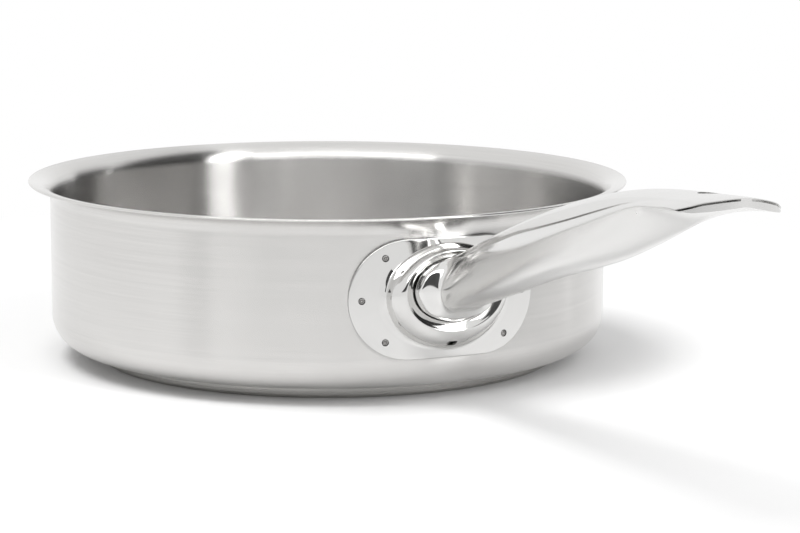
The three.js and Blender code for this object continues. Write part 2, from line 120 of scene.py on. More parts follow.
# Spot welds of the plate, as sideways and upward distances from its middle
PLATE_WELDS = [(-26.2, 17), (-35.6, 0), (-26.2, -17), (26.2, -17), (35.6, 0), (26.2, 17)]
WELD_RADIUS = 1.15
WELD_RECESS = 0.1
WELD_SEGMENTS = 40
WELD_SEAT_RADIUS = WELD_RADIUS + GAP
WELD_SEAT_REACH = (-1, 4)

# Dimpled end of a spot weld: radius, and height from the foot of its raised ring
WELD_END = [
    (0, -0.65),
    (0.3, -0.6),
    (0.5, -0.45),
    (0.62, -0.15),
    (0.72, 0),
    (0.9, 0.03),
    (1.05, -0.05),
    (WELD_RADIUS, -0.2),
]

# Handle: its flange
FLANGE_STANDOFF = 0.7
FLANGE_BACK = WALL_RADIUS + SEAT_OUT + FLANGE_STANDOFF
FLANGE_HALF_WIDTH = 17.7
FLANGE_HALF_HEIGHT = 12.7
FLANGE_HEIGHT = 48.2
FLANGE_FLUTE_ANGLE = math.radians(50)
FLANGE_EDGE_ANGLE = math.radians(30)
FLANK_SHARE = 0.8

# Handle: its sheet and its sections, with pairs for where along it a change starts and ends
HANDLE_SHEET = 1.3
HANDLE_STEPS = [14, 8, 4, 4, 12, 12, 14, 14]
HANDLE_PITCH = 0.9
FLANGE_PITCH = 0.25
FLANGE_PITCH_TO = FLANGE_BACK + 3
HANDLE_PITCH_FROM = FLANGE_BACK + 12
SIDE_SPANS = 6
CROWN_EDGE = 0.85
CROWN_SOFT = 0.66
CROWN_FIRM = 0.42
CROWN_FIRMS = (130, 150)
CROWN_SOFTENS = (250, 320)
CREASE_SHARE = 0.85
CREASE_SPANS = [1, 2, 3, 4]
CREASE_GROWS = (140, 162)
CREASE_FADES = (262, 312)
KEEL_SHARE = 0.9
KEEL_SPAN = 7
KEEL_GROWS = (285, 320)
SMOOTH_FROM = 131
SMOOTH_GROWTH = 3
SMOOTH_REACH = 7
SMOOTH_STEPS = 4
GROOVE_DEPTH = 0.9
GROOVE_INWARD = (1, 0.3)
GROOVE_HALF_WIDTH = 0.5
GROOVE_ROOT_WIDTH = 1.1
GROOVE_NARROWS = (165, 240)

# Handle: its end, with the hanging eye and the slit between its two sheets
END_TURN = math.radians(3)
END_TURNS = (255, 335)
TIP_CORNER = 330
TIP_REACH = 345.5
TIP_HALF_WIDTH = 21
TIP_STEPS = 96
TIP_OVERRUN = 352
TALL = 200
HOLE_AT = 321.5
HOLE_RADIUS = 3.7
HOLE_RELIEF = 4.7
HOLE_EDGE = 0.5
HOLE_STEPS = 64
SLIT_START = 331
SLIT_DEPTH = 0.3
SLIT_HEIGHT = 0.7
SLIT_INWARD = 6
SLIT_BRIDGE = 4.2
SLIT_BRIDGE_OVERRUN = 5
SLIT_SPACING = 1
SLIT_MARGIN = 2
SLIT_STEPS = 8
HOLLOW_PLAN = [(100, 20), (265, 13.2), (290, 12.6), (316, 11.5), (328, 8), (336, 2)]
HOLLOW_STRIDE = 3
HOLLOW_OVERRUN = 1

# Finishes: dark and light tint, and low and high roughness
BODY_TINT = ((0.625, 0.617, 0.605), (0.74, 0.73, 0.717))
BODY_ROUGHNESS = (0.22, 0.27)
BASE_TINT = ((0.46, 0.452, 0.44), (0.56, 0.55, 0.535))
BASE_ROUGHNESS = (0.2, 0.32)
PLATE_TINT = ((0.665, 0.66, 0.65), (0.705, 0.7, 0.69))
PLATE_ROUGHNESS = (0.045, 0.1)
HANDLE_TINT = ((0.71, 0.705, 0.695), (0.76, 0.755, 0.745))
WELD_TINT = ((0.2, 0.195, 0.19), (0.5, 0.49, 0.48))
WELD_ROUGHNESS = 0.38
ALUMINIUM_TINT = ((0.64, 0.65, 0.66), (0.76, 0.77, 0.78))
ALUMINIUM_ROUGHNESS = 0.45
MATT_ROUGHNESS = 0.9
NOISE_ROUGHNESS = 0.55

# Finishes and painted shade: where they change, and by how much
# Painted shade: the body's inner face is darkened to this share of its colour, blended over a width in
# millimetres
INSIDE_PAINTED_SHADE = 0.82
INSIDE_PAINTED_SHADE_BLEND = 0.2
LONG_STREAKS = 0.6
FINE_STREAKS = 0.4
# Painted shade: the plate's rounded edge and back are darkened to this share, between two depths under its
# face
CUT_EDGE_PAINTED_SHADE = 0.3
CUT_EDGE_PAINTED_SHADE_DEPTHS = (0.4, 0.1)
POLISH_ROUGHNESS = 0.08
POLISH_TO = 134
SATIN_FROM = 146
SATIN_ADDED_ROUGHNESS = (0.12, 0.2)

# Camera fitted to the photograph, looking along its heading and a little downward
CAMERA_AT = (1103.69, -471.02, 236.79)
CAMERA_HEADING = 65.376
CAMERA_DOWN = 9.411
CAMERA_ROLL = 0.234
CAMERA_LENS = 124.15
CAMERA_SENSOR = 36

# Studio, in metres
CAMERA_REACH = 50
FLOOR_HALF_SIZE = 8
FLOOR_WHITE = 0.9
FLOOR_NEAR = 0.16
FLOOR_FAR = 0.45
WORLD_LIGHT = 0.58
LAMP_AIM = (0, 0, 0.05)

# Lamps: place, size, watts, whether the metal shows it and whether it lights the floor
LAMPS = {
    "key": ((0.1, -1.3, 3.7), (2, 2), 92, False, True),
    "front": ((2.62, -1.58, 2.2), (5.8, 1.2), 80, True, False),
    "strip": ((1.79, 0.9, 1.15), (0.46, 1.7), 17, True, True),
}

# Dark screens round the studio: start and end bearing, foot, top at the start and at the end, and grey
SCREEN_DISTANCE = 2.2
SCREEN_STEPS = 40
SCREENS = [
    (-84, -50, 0.06, 0.1, 1.1, 0.08),
    (-50, -15, 0.06, 1.1, 1.1, 0.08),
    (-15, 19.5, 0.06, 1.1, 0.4, 0.08),
    (34, 55, 0.06, 1.6, 5, 0.03),
    (55, 88, 0.06, 5, 5, 0.03),
    (92, 118, 0.06, 1.2, 0.8, 0.03),
]


def lerp(a, b, share):
    return a + (b - a) * share


def smoothstep(value, low, high):
    share = min(max((value - low) / (high - low), 0), 1)
    return share * share * (3 - 2 * share)


def flange_station(x, margin):
    """An oval section of the handle's flange, grown or shrunk all round by a margin."""
    width = FLANGE_HALF_WIDTH + margin
    height = FLANGE_HALF_HEIGHT + margin
    return {
        "x": x,
        "top": FLANGE_HEIGHT + height,
        "flute_y": width * math.cos(FLANGE_FLUTE_ANGLE),
        "flute_z": FLANGE_HEIGHT + height * math.sin(FLANGE_FLUTE_ANGLE),
        "edge_y": width * math.cos(FLANGE_EDGE_ANGLE),
        "edge_z": FLANGE_HEIGHT + height * math.sin(FLANGE_EDGE_ANGLE),
        "width": width,
        "side": FLANGE_HEIGHT,
        "flank": FLANGE_HEIGHT - height * math.sqrt(1 - FLANK_SHARE ** 2),
        "bottom": FLANGE_HEIGHT - height,
    }


SECTION_FIELDS = ["x", "top", "flute_y", "flute_z", "edge_y", "edge_z", "width", "side", "flank", "bottom"]


def grip_station(*values):
    """One section of the grip, with its values in the order of SECTION_FIELDS."""
    return dict(zip(SECTION_FIELDS, values))


HANDLE_STATIONS = [
    flange_station(FLANGE_BACK, -0.35),
    flange_station(FLANGE_BACK + 0.3, 0),
    flange_station(FLANGE_BACK + 1.1, 0),
    flange_station(FLANGE_BACK + 2.3, -0.5),
    grip_station(133.0, 63.0, 10.0, 58.8, 13.8, 55.5, 15.9, 49.1, 40.2, 37.4),
    grip_station(134.1, 63.4, 8.2, 59.7, 11.4, 56.3, 13.4, 49.3, 41.0, 38.8),
    grip_station(135.3, 63.8, 6.6, 60.5, 9.3, 56.9, 11.4, 49.3, 41.8, 40.2),
    grip_station(137.2, 64.5, 5.2, 61.6, 7.6, 57.4, 10.3, 49.4, 42.8, 41.4),
    grip_station(142, 66.4, 3.9, 63.4, 6.3, 58.4, 9.9, 50.2, 44.2, 42.9),
    grip_station(148, 68.9, 3.3, 65.6, 5.8, 61.4, 9.8, 53.2, 46.4, 44.6),
    grip_station(156, 72.0, 3.6, 68.4, 6.3, 65.8, 9.9, 57.4, 49.6, 46.7),
    grip_station(170, 77.2, 4.6, 72.8, 8.8, 69.8, 10.6, 64.0, 54.4, 51.3),
    grip_station(193, 85.2, 6.4, 80.0, 11.2, 74.8, 11.9, 70.6, 62.2, 58.9),
    grip_station(218, 93.2, 8.4, 86.2, 12.5, 81.6, 12.9, 78.6, 70.4, 66.8),
    grip_station(242, 99.8, 10.4, 92.2, 13.5, 88.8, 13.7, 86.4, 78.0, 73.6),
    grip_station(265, 105.1, 12.4, 98.2, 14.3, 95.6, 14.4, 93.8, 86.6, 80.6),
    grip_station(288, 108.8, 13.2, 104.0, 15.0, 102.6, 15.4, 101.4, 96.6, 89.2),
    grip_station(302, 110.3, 14.0, 106.6, 15.6, 105.8, 16.4, 105.0, 101.7, 94.8),
    grip_station(316, 111.3, 14.8, 108.3, 16.6, 107.3, 17.8, 106.35, 105.8, 100.5),
    grip_station(330, 112.2, 16.4, 109.4, 18.3, 108.6, 19.8, 107.75, 106.7, 106.3),
    grip_station(339, 112.8, 16.8, 109.7, 18.8, 108.8, 20.8, 107.75, 107.3, 109.05),
    grip_station(352, 113.2, 16.8, 109.9, 19.0, 109.0, 21.4, 107.6, 107.9, 110.8),
]


def make_object(name, bm):
    """A smooth-shaded object from a finished bmesh."""
    bmesh.ops.recalc_face_normals(bm, faces=bm.faces)
    mesh = bpy.data.meshes.new(name)
    bm.to_mesh(mesh)
    bm.free()
    obj = bpy.data.objects.new(name, mesh)
    bpy.context.scene.collection.objects.link(obj)
    shade(obj)
    return obj


def shade(obj):
    """Smooth shading that keeps the sharp edges crisp."""
    obj.data.shade_smooth()
    obj.data.set_sharp_from_angle(angle=SHARP_ANGLE)


def dress(piece, material, slot, *nodes):
    """Finishes a piece: its material, the nodes it stands for and its body; the slot is not used."""
    piece.data.materials.clear()
    piece.data.materials.append(material)
    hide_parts(*nodes)
    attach(piece, BODY)


def join_rings(bm, low, high):
    """Faces between two closed rings, either of which may be a single pole vertex."""
    count = max(len(low), len(high))
    for i in range(count):
        j = (i + 1) % count
        if len(low) == 1:
            bm.faces.new((low[0], high[j], high[i]))
        elif len(high) == 1:
            bm.faces.new((low[i], low[j], high[0]))
        else:
            bm.faces.new((low[i], low[j], high[j], high[i]))


def revolve(profile, segments):
    """A bmesh turned about the Z axis from radius and height points."""
    bm = bmesh.new()
    rings = []
    for radius, height in profile:
        if radius < TINY:
            rings.append([bm.verts.new((0, 0, height * MM))])
            continue
        ring = []
        for i in range(segments):
            angle = 2 * math.pi * i / segments
            x = radius * MM * math.cos(angle)
            y = radius * MM * math.sin(angle)
            ring.append(bm.verts.new((x, y, height * MM)))
        rings.append(ring)
    for low, high in zip(rings, rings[1:]):
        join_rings(bm, low, high)
    return bm


def skin(loops):
    """A bmesh over a row of closed loops with the same number of points, closed at both ends."""
    bm = bmesh.new()
    rings = [[bm.verts.new(point * MM) for point in loop] for loop in loops]
    for low, high in zip(rings, rings[1:]):
        join_rings(bm, low, high)
    bm.faces.new(rings[0])
    bm.faces.new(rings[-1])
    return bm


def prism(outline, low, high):
    """An upright prism over a plan outline."""
    loops = [[Vector((x, y, z)) for x, y in outline] for z in (low, high)]
    return make_object("cutter", skin(loops))


def cut(target, tool, operation="DIFFERENCE"):
    """Cuts a target by a tool, or keeps what they share, and deletes the tool."""
    modifier = target.modifiers.new("cut", "BOOLEAN")
    modifier.operation = operation
    modifier.solver = "EXACT"
    modifier.object = tool
    graph = bpy.context.evaluated_depsgraph_get()
    mesh = bpy.data.meshes.new_from_object(target.evaluated_get(graph))
    target.modifiers.clear()
    target.data = mesh
    bpy.data.objects.remove(tool)


def arc(radius, height, size, start, end, steps):
    """Points along a circular arc in the radius and height plane."""
    points = []
    for i in range(steps + 1):
        angle = math.radians(lerp(start, end, i / steps))
        points.append((radius + size * math.cos(angle), height + size * math.sin(angle)))
    return points


def body_face(inset):
    """The body sheet's outline a distance inside its outer face, from the middle to the lip."""
    lip_centre = WALL_RADIUS + LIP_RADIUS
    drop = (RIM_RADIUS - lip_centre) * math.sin(LIP_TILT)
    lip_start = RIM_HEIGHT - (LIP_RADIUS + BODY_SHEET) * math.cos(LIP_TILT) - drop
    corner = (WALL_RADIUS - CORNER_RADIUS, BODY_BOTTOM + CORNER_RADIUS)
    points = [(radius, BODY_BOTTOM + inset) for radius in BODY_BOTTOM_RINGS]
    points += arc(*corner, CORNER_RADIUS - inset, -90, 0, CORNER_STEPS)
    for i in range(1, WALL_STEPS):
        points.append((WALL_RADIUS - inset, lerp(corner[1], lip_start, i / WALL_STEPS)))
    points += arc(lip_centre, lip_start, LIP_RADIUS + inset, 180, 90 + math.degrees(LIP_TILT), LIP_STEPS)
    return points


def pan_body():
    """The spun body, with a rounded edge all round its lip."""
    outside = body_face(0)
    inside = body_face(BODY_SHEET)
    reach = RIM_RADIUS - BODY_SHEET / 2
    slope = math.tan(LIP_TILT) * LIP_EDGE_FALL
    middle = lerp(outside[-1][1], inside[-1][1], 0.5) + (reach - outside[-1][0]) * slope
    edge = arc(reach, middle, BODY_SHEET / 2, LIP_EDGE_TURN - 90, LIP_EDGE_TURN + 90, LIP_EDGE_STEPS)
    profile = outside + edge + inside[::-1]
    return make_object("body_shell", revolve(profile, ROUND_SEGMENTS))


def base_cap():
    """The steel cap under the body, with a rolled lower edge."""
    high = BODY_BOTTOM - GAP
    centre = (BASE_RADIUS - BASE_EDGE, BASE_EDGE)
    profile = [(radius, 0) for radius in BASE_RINGS]
    profile += arc(*centre, BASE_EDGE, -90, 0, BASE_EDGE_STEPS)
    profile.append((BASE_RADIUS, high - CAP_CHAMFER))
    profile.append((BASE_RADIUS - CAP_CHAMFER, high))
    profile.append((BASE_RADIUS - CAP_SHEET, high))
    profile += arc(*centre, BASE_EDGE - CAP_SHEET, 0, -90, CAP_INNER_STEPS)
    profile.append((0, CAP_SHEET))
    return make_object("base_shell", revolve(profile, ROUND_SEGMENTS))


def on_plate(side, up, out, flat):
    """A place on the plate: sideways and upward from its middle, off the wall, flat or following it."""
    radius = WALL_RADIUS + out
    angle = side / WALL_RADIUS
    x = lerp(radius * math.cos(angle), radius, flat)
    y = lerp(radius * math.sin(angle), side, flat)
    return Vector((x, y, PLATE_HEIGHT + up))


def plate_edge(angle):
    """The plate's outer boundary at an angle seen from its middle."""
    straight = PLATE_HALF_WIDTH - PLATE_HALF_HEIGHT
    c = math.cos(angle)
    s = math.sin(angle)
    if abs(s) > TINY and PLATE_HALF_HEIGHT / abs(s) * abs(c) <= straight:
        length = PLATE_HALF_HEIGHT / abs(s)
    else:
        reach = straight * abs(c)
        length = reach + math.sqrt(reach ** 2 - straight ** 2 + PLATE_HALF_HEIGHT ** 2)
    return length * c, length * s


def plate_angles():
    return [2 * math.pi * i / PLATE_POINTS for i in range(PLATE_POINTS)]


def boss_ring(half_width, half_height, lift, out):
    """One closed ring of the pressed boss, flat at its crest and following the wall at its foot."""
    flat = smoothstep(BOSS_FOOT[0] - half_width, 0, BOSS_FOOT[0] - BOSS_CREST[0])
    ring = []
    for angle in plate_angles():
        side = half_width * math.cos(angle)
        up = lift + half_height * math.sin(angle)
        ring.append(on_plate(side, up, out, flat))
    return ring


def level_ring(inset, share, out):
    """A ring of the plate's level part, an inset from its boundary and a share of the way to the boss."""
    ring = []
    for angle in plate_angles():
        side, up = plate_edge(angle)
        foot_side = BOSS_FOOT[0] * math.cos(angle)
        foot_up = BOSS_FOOT[2] + BOSS_FOOT[1] * math.sin(angle)
        width = math.hypot(side - foot_side, up - foot_up)
        place = share + (1 - share) * min(inset / width, 1)
        ring.append(on_plate(lerp(side, foot_side, place), lerp(up, foot_up, place), out, 0))
    return ring


def catmull(points, t):
    """A point on a smooth open curve through points of any number of values."""
    span = (len(points) - 1) * t
    i = min(int(span), len(points) - 2)
    share = span - i
    before, start = points[max(i - 1, 0)], points[i]
    end, after = points[i + 1], points[min(i + 2, len(points) - 1)]
    place = []
    for a, b, c, d in zip(before, start, end, after):
        leave = (c - a) / 2
        arrive = (d - b) / 2
        cubic = (2 * b - 2 * c + leave + arrive) * share ** 3
        square = (-3 * b + 3 * c - 2 * leave - arrive) * share ** 2
        place.append(cubic + square + leave * share + b)
    return place


def boss_rings(depth):
    """The rings of the boss, from its foot to its seat, at a depth under its outer face."""
    rings = []
    for i in range(1, BOSS_STEPS + 1):
        t = i / BOSS_STEPS
        width, height, lift, out = catmull(BOSS_PROFILE, t)
        ahead = catmull(BOSS_PROFILE, min(t + BOSS_SLOPE_STEP, 1))
        behind = catmull(BOSS_PROFILE, t - BOSS_SLOPE_STEP)
        along = Vector((ahead[0] - behind[0], ahead[3] - behind[3])).normalized()
        inward = depth * along.y
        rings.append(boss_ring(width - inward, height - inward, lift, out + depth * along.x))
    return rings


def plate_sheet():
    """The plate as one sheet, over its outer face and back under its inner face."""
    outer = []
    for i in range(PLATE_EDGE_STEPS + 1):
        angle = math.pi / 2 * i / PLATE_EDGE_STEPS
        inset = PLATE_EDGE * (1 - math.cos(angle))
        outer.append(level_ring(inset, 0, PLATE_OUT - PLATE_EDGE * (1 - math.sin(angle))))
    for i in range(1, PLATE_FACE_STEPS + 1):
        outer.append(level_ring(PLATE_EDGE, i / PLATE_FACE_STEPS, PLATE_OUT))
    inner = [level_ring(0, i / PLATE_BACK_STEPS, GAP) for i in range(PLATE_BACK_STEPS + 1)]
    outer += boss_rings(0)
    inner += boss_rings(PLATE_SHEET)
    return make_object("boss_plate", skin(inner[::-1] + outer))


def aim_out(side, up):
    """The placement that stands a turned piece on the wall at a place on the plate."""
    turn = Matrix.Rotation(side / WALL_RADIUS, 4, "Z")
    stand = Matrix.Translation((WALL_RADIUS * MM, 0, (PLATE_HEIGHT + up) * MM))
    return turn @ stand @ Matrix.Rotation(math.pi / 2, 4, "Y")


def stand_on_wall(profile, side, up):
    """A bmesh turned from a profile, standing on the wall at a place on the plate."""
    bm = revolve(profile, WELD_SEGMENTS)
    bmesh.ops.transform(bm, matrix=aim_out(side, up), verts=bm.verts)
    return bm


def weld_seat(side, up):
    """The tool that cuts the round seat of one spot weld through the plate."""
    low, high = WELD_SEAT_REACH
    profile = [(0, low), (WELD_SEAT_RADIUS, low), (WELD_SEAT_RADIUS, high), (0, high)]
    return make_object("cutter", stand_on_wall(profile, side, up))


def drain_outline():
    """The drain slot's outline with round ends, as sideways and upward places."""
    round_end = DRAIN_HEIGHT / 2
    reach = DRAIN_WIDTH / 2 - round_end
    outline = []
    for side in (1, -1):
        for i in range(DRAIN_END_STEPS + 1):
            angle = math.pi * (i / DRAIN_END_STEPS - 0.5)
            across = side * (reach + round_end * math.cos(angle))
            outline.append((across, DRAIN_HEIGHT_AT + side * round_end * math.sin(angle)))
    return outline


def drain_slot():
    """The tool that cuts the drain slot, which rises a little outward."""
    loops = []
    for along in (-DRAIN_CUT / 2, DRAIN_CUT / 2):
        x = WALL_RADIUS + DRAIN_OUT + along
        rise = along * math.tan(DRAIN_TILT)
        loops.append([Vector((x, y, z + rise)) for y, z in drain_outline()])
    return make_object("cutter", skin(loops))


def handle_plate():
    """The plate with its weld seats and the drain slot under the boss."""
    plate = plate_sheet()
    for side, up in PLATE_WELDS:
        cut(plate, weld_seat(side, up))
    cut(plate, drain_slot())
    shade(plate)
    return plate


def plate_weld(name, side, up):
    """One spot weld: a small plug with a raised ring and a dimpled middle."""
    end = PLATE_OUT - WELD_RECESS
    profile = [(radius, end + height) for radius, height in WELD_END]
    profile += [(WELD_RADIUS, GAP / 2), (0, GAP / 2)]
    return make_object(name, stand_on_wall(profile, side, up))


def station_value(field, x):
    """A value of the handle's stations at a distance along it, eased without overshoot."""
    rows = HANDLE_STATIONS
    last = len(rows) - 1
    i = 0
    while i < last - 1 and x > rows[i + 1]["x"]:
        i += 1

    def grade(k):
        return (rows[k + 1][field] - rows[k][field]) / (rows[k + 1]["x"] - rows[k]["x"])

    def slope(k):
        if k == 0:
            return grade(0)
        if k == last:
            return grade(last - 1)
        before, after = grade(k - 1), grade(k)
        return 0 if before * after <= 0 else 2 * before * after / (before + after)

    span = rows[i + 1]["x"] - rows[i]["x"]
    t = (x - rows[i]["x"]) / span
    start = rows[i][field] * (1 + 2 * t) * (1 - t) ** 2 + slope(i) * span * t * (1 - t) ** 2
    end = rows[i + 1][field] * t * t * (3 - 2 * t) + slope(i + 1) * span * t * t * (t - 1)
    return start + end


def smooth_value(field, x):
    """The station value averaged over a short length, so that reflections run evenly."""
    reach = min(max((x - SMOOTH_FROM) / SMOOTH_GROWTH, 0), SMOOTH_REACH)
    if reach == 0:
        return station_value(field, x)
    total = 0
    weights = 0
    for i in range(-SMOOTH_STEPS, SMOOTH_STEPS + 1):
        weight = math.cos(i / (SMOOTH_STEPS + 1) * math.pi / 2) ** 2
        total += weight * station_value(field, min(x + reach * i / SMOOTH_STEPS, TIP_OVERRUN))
        weights += weight
    return total / weights


def crown_share(x):
    """How far the crown has dropped at its edge: soft at the flange and the end, firm along the grip."""
    ends = 1 - smoothstep(x, *CROWN_FIRMS) + smoothstep(x, *CROWN_SOFTENS)
    return lerp(CROWN_FIRM, CROWN_SOFT, ends)


def crease(x):
    """How crisp the handle's groove and band are: full along the grip, none at its two ends."""
    return smoothstep(x, *CREASE_GROWS) * (1 - smoothstep(x, *CREASE_FADES))


def closed_curve(points, steps, straight):
    """Points and tangents of a closed centripetal curve, drawn towards straight lines in some spans."""
    count = len(points)
    found = []
    for k in range(count):
        p = [Vector(points[(k + j - 1) % count]) for j in range(4)]
        d = [max((p[j + 1] - p[j]).length ** 0.5, SMALLEST_SPAN) for j in range(3)]
        leave = ((p[1] - p[0]) / d[0] - (p[2] - p[0]) / (d[0] + d[1]) + (p[2] - p[1]) / d[1]) * d[1]
        arrive = ((p[2] - p[1]) / d[1] - (p[3] - p[1]) / (d[1] + d[2]) + (p[3] - p[2]) / d[2]) * d[1]
        square = -3 * p[1] + 3 * p[2] - 2 * leave - arrive
        cubic = 2 * p[1] - 2 * p[2] + leave + arrive
        line = p[2] - p[1]
        for i in range(steps[k]):
            t = i / steps[k]
            place = p[1] + lerp(leave * t + square * t * t + cubic * t ** 3, line * t, straight[k])
            along = lerp(leave + 2 * square * t + 3 * cubic * t * t, line, straight[k])
            found.append((place, along.normalized()))
    return found


def groove(crown, flute, edge, x, inset):
    """The three corners of the groove under the crown, which only the outer face has."""
    depth = 0 if inset else GROOVE_DEPTH * crease(x)
    half_width = lerp(GROOVE_ROOT_WIDTH, GROOVE_HALF_WIDTH, smoothstep(x, *GROOVE_NARROWS))
    half_width = lerp(GROOVE_HALF_WIDTH, half_width, crease(x))
    upper_lip = flute + (crown - flute).normalized() * half_width
    lower_lip = flute + (edge - flute).normalized() * half_width
    bottom = flute + Vector(GROOVE_INWARD).normalized() * depth
    return upper_lip, bottom, lower_lip


def straight_spans(x):
    """How far each span of the half section is drawn towards a straight line."""
    spans = [0] * len(HANDLE_STEPS)
    for span in CREASE_SPANS:
        spans[span] = CREASE_SHARE * crease(x)
    spans[KEEL_SPAN] = KEEL_SHARE * smoothstep(x, *KEEL_GROWS)
    return spans


def handle_loop(x, inset):
    """The closed handle section at a distance along it, a distance inside the outer face."""
    values = [smooth_value(field, x) for field in SECTION_FIELDS[1:]]
    top, flute_y, flute_z, edge_y, edge_z, width, side, flank, bottom = values
    crown = Vector((-flute_y * CROWN_EDGE, lerp(top, flute_z, crown_share(x))))
    flute = Vector((-flute_y, flute_z))
    edge = Vector((-edge_y, edge_z))
    half = [
        (0, top),
        crown,
        *groove(crown, flute, edge, x, inset),
        edge,
        (-width, side),
        (-width * FLANK_SHARE, flank),
        (0, bottom),
    ]
    mirrored = [(-y, z) for y, z in half[-2:0:-1]]
    steps = HANDLE_STEPS + HANDLE_STEPS[::-1]
    straight = straight_spans(x) + straight_spans(x)[::-1]
    loop = []
    for place, along in closed_curve(half + mirrored, steps, straight):
        loop.append(Vector((x, place.x - inset * along.y, place.y + inset * along.x)))
    return loop


def handle_cuts():
    """Where along the handle its sections are taken."""
    cuts = []
    x = FLANGE_BACK
    while x < TIP_OVERRUN:
        cuts.append(x)
        x += lerp(FLANGE_PITCH, HANDLE_PITCH, smoothstep(x, FLANGE_PITCH_TO, HANDLE_PITCH_FROM))
    return cuts + [TIP_OVERRUN]


def tip_outline(inset):
    """The handle's rounded plan outline, shrunk by an inset."""
    half = TIP_HALF_WIDTH - inset
    reach = TIP_REACH - TIP_CORNER - inset
    outline = [(0, -half)]
    for i in range(TIP_STEPS + 1):
        angle = math.pi * (i / TIP_STEPS - 0.5)
        outline.append((TIP_CORNER + reach * math.cos(angle), half * math.sin(angle)))
    return outline + [(0, half)]


def eye_outline(radius):
    """A round plan outline about the hanging eye."""
    angles = [2 * math.pi * i / HOLE_STEPS for i in range(HOLE_STEPS)]
    return [(HOLE_AT + radius * math.cos(angle), radius * math.sin(angle)) for angle in angles]


def hollow_outline():
    near = [(x, -half) for x, half in HOLLOW_PLAN]
    far = [(x, half) for x, half in HOLLOW_PLAN]
    return near + far[::-1]


def crown_height(loop, y):
    """The height of a section's upper face at a sideways place, carried on level beyond its side."""
    upper = loop[:sum(HANDLE_STEPS[:SIDE_SPANS]) + 1]
    for low, high in zip(upper, upper[1:]):
        if -high.y >= abs(y):
            return lerp(low.z, high.z, (abs(y) + low.y) / (low.y - high.y))
    return upper[-1].z


def tip_slit():
    """The tool that cuts the slit between the two sheets round the end, closed at the middle."""
    reach = TIP_HALF_WIDTH + SLIT_MARGIN
    sides = [-reach + SLIT_SPACING * i for i in range(int(2 * reach / SLIT_SPACING) + 1)]
    loops = []
    for i in range(SLIT_STEPS + 1):
        x = lerp(SLIT_START, TIP_OVERRUN, i / SLIT_STEPS)
        section = handle_loop(x, 0)
        high = [Vector((x, y, crown_height(section, y) - SLIT_DEPTH)) for y in sides]
        low = [point - Vector((0, 0, SLIT_HEIGHT)) for point in high]
        loops.append(low + high[::-1])
    slit = make_object("slit", skin(loops))
    cut(slit, prism(tip_outline(SLIT_INWARD), 0, TALL))
    half = SLIT_BRIDGE / 2
    end = TIP_OVERRUN + SLIT_BRIDGE_OVERRUN
    bridge = [(TIP_CORNER, -half), (end, -half), (end, half), (TIP_CORNER, half)]
    cut(slit, prism(bridge, 0, TALL))
    return slit


def handle_hollow(cuts):
    """The tool that hollows the handle, open at its flange."""
    inner = [handle_loop(x, HANDLE_SHEET) for x in cuts[::HOLLOW_STRIDE] + [TIP_OVERRUN]]
    for point in inner[0]:
        point.x -= HOLLOW_OVERRUN
    hollow = make_object("hollow", skin(inner))
    cut(hollow, prism(hollow_outline(), 0, TALL), "INTERSECT")
    return hollow


def cut_eye(grip):
    """Cuts the hanging eye through the upper sheet, which is thinned from below round it."""
    deck = smooth_value("top", HOLE_AT)
    below = deck - 2 * HANDLE_SHEET
    cut(grip, prism(eye_outline(HOLE_RELIEF), below, deck - HOLE_EDGE))
    cut(grip, prism(eye_outline(HOLE_RADIUS), below, deck + 2 * HANDLE_SHEET))


def turn_end(obj):
    """Turns the handle's end a little about its length, as it is on the pan."""
    for vertex in obj.data.vertices:
        x = vertex.co.x / MM
        angle = END_TURN * smoothstep(x, *END_TURNS)
        pivot = Vector((0, 0, smooth_value("top", min(x, TIP_OVERRUN)) * MM))
        vertex.co = Matrix.Rotation(-angle, 3, "X") @ (vertex.co - pivot) + pivot


def handle():
    """The hollow handle, with a hanging eye in its upper sheet and a slit round its end."""
    cuts = handle_cuts()
    grip = make_object("handle_shell", skin([handle_loop(x, 0) for x in cuts]))
    cut(grip, prism(tip_outline(0), 0, TALL), "INTERSECT")
    cut(grip, handle_hollow(cuts))
    cut(grip, tip_slit())
    cut_eye(grip)
    turn_end(grip)
    shade(grip)
    return grip


def new_material(name, color, roughness):
    """A metal with its plain values set; returns the material, its nodes, its links and its shader."""
    material = bpy.data.materials.new(name)
    material.use_nodes = True
    nodes = material.node_tree.nodes
    shader = nodes["Principled BSDF"]
    shader.inputs["Metallic"].default_value = 1
    shader.inputs["Base Color"].default_value = (*color, 1)
    shader.inputs["Roughness"].default_value = roughness
    return material, nodes, material.node_tree.links, shader


def matt_material(name, grey):
    """A matt grey without gloss, for the floor and the screens."""
    material, nodes, links, shader = new_material(name, (grey, grey, grey), MATT_ROUGHNESS)
    shader.inputs["Metallic"].default_value = 0
    shader.inputs["Specular IOR Level"].default_value = 0
    return material, nodes, links, shader


def math_node(nodes, links, operation, first, second):
    """A sum, a product or the like of two values, either of which may be a plain number."""
    node = nodes.new("ShaderNodeMath")
    node.operation = operation
    for socket, value in zip(node.inputs, (first, second)):
        if isinstance(value, (int, float)):
            socket.default_value = value
        else:
            links.new(value, socket)
    return node.outputs["Value"]


def noise(nodes, links, vector, scale, detail):
    node = nodes.new("ShaderNodeTexNoise")
    node.inputs["Scale"].default_value = scale
    node.inputs["Detail"].default_value = detail
    node.inputs["Roughness"].default_value = NOISE_ROUGHNESS
    links.new(vector, node.inputs["Vector"])
    return node.outputs["Fac"]


def ramp(nodes, links, value, low, high, start=0.0, end=1.0):
    """Maps a value between two bounds to a start and an end."""
    node = nodes.new("ShaderNodeMapRange")
    node.inputs["From Min"].default_value = low
    node.inputs["From Max"].default_value = high
    node.inputs["To Min"].default_value = start
    node.inputs["To Max"].default_value = end
    links.new(value, node.inputs["Value"])
    return node.outputs["Result"]


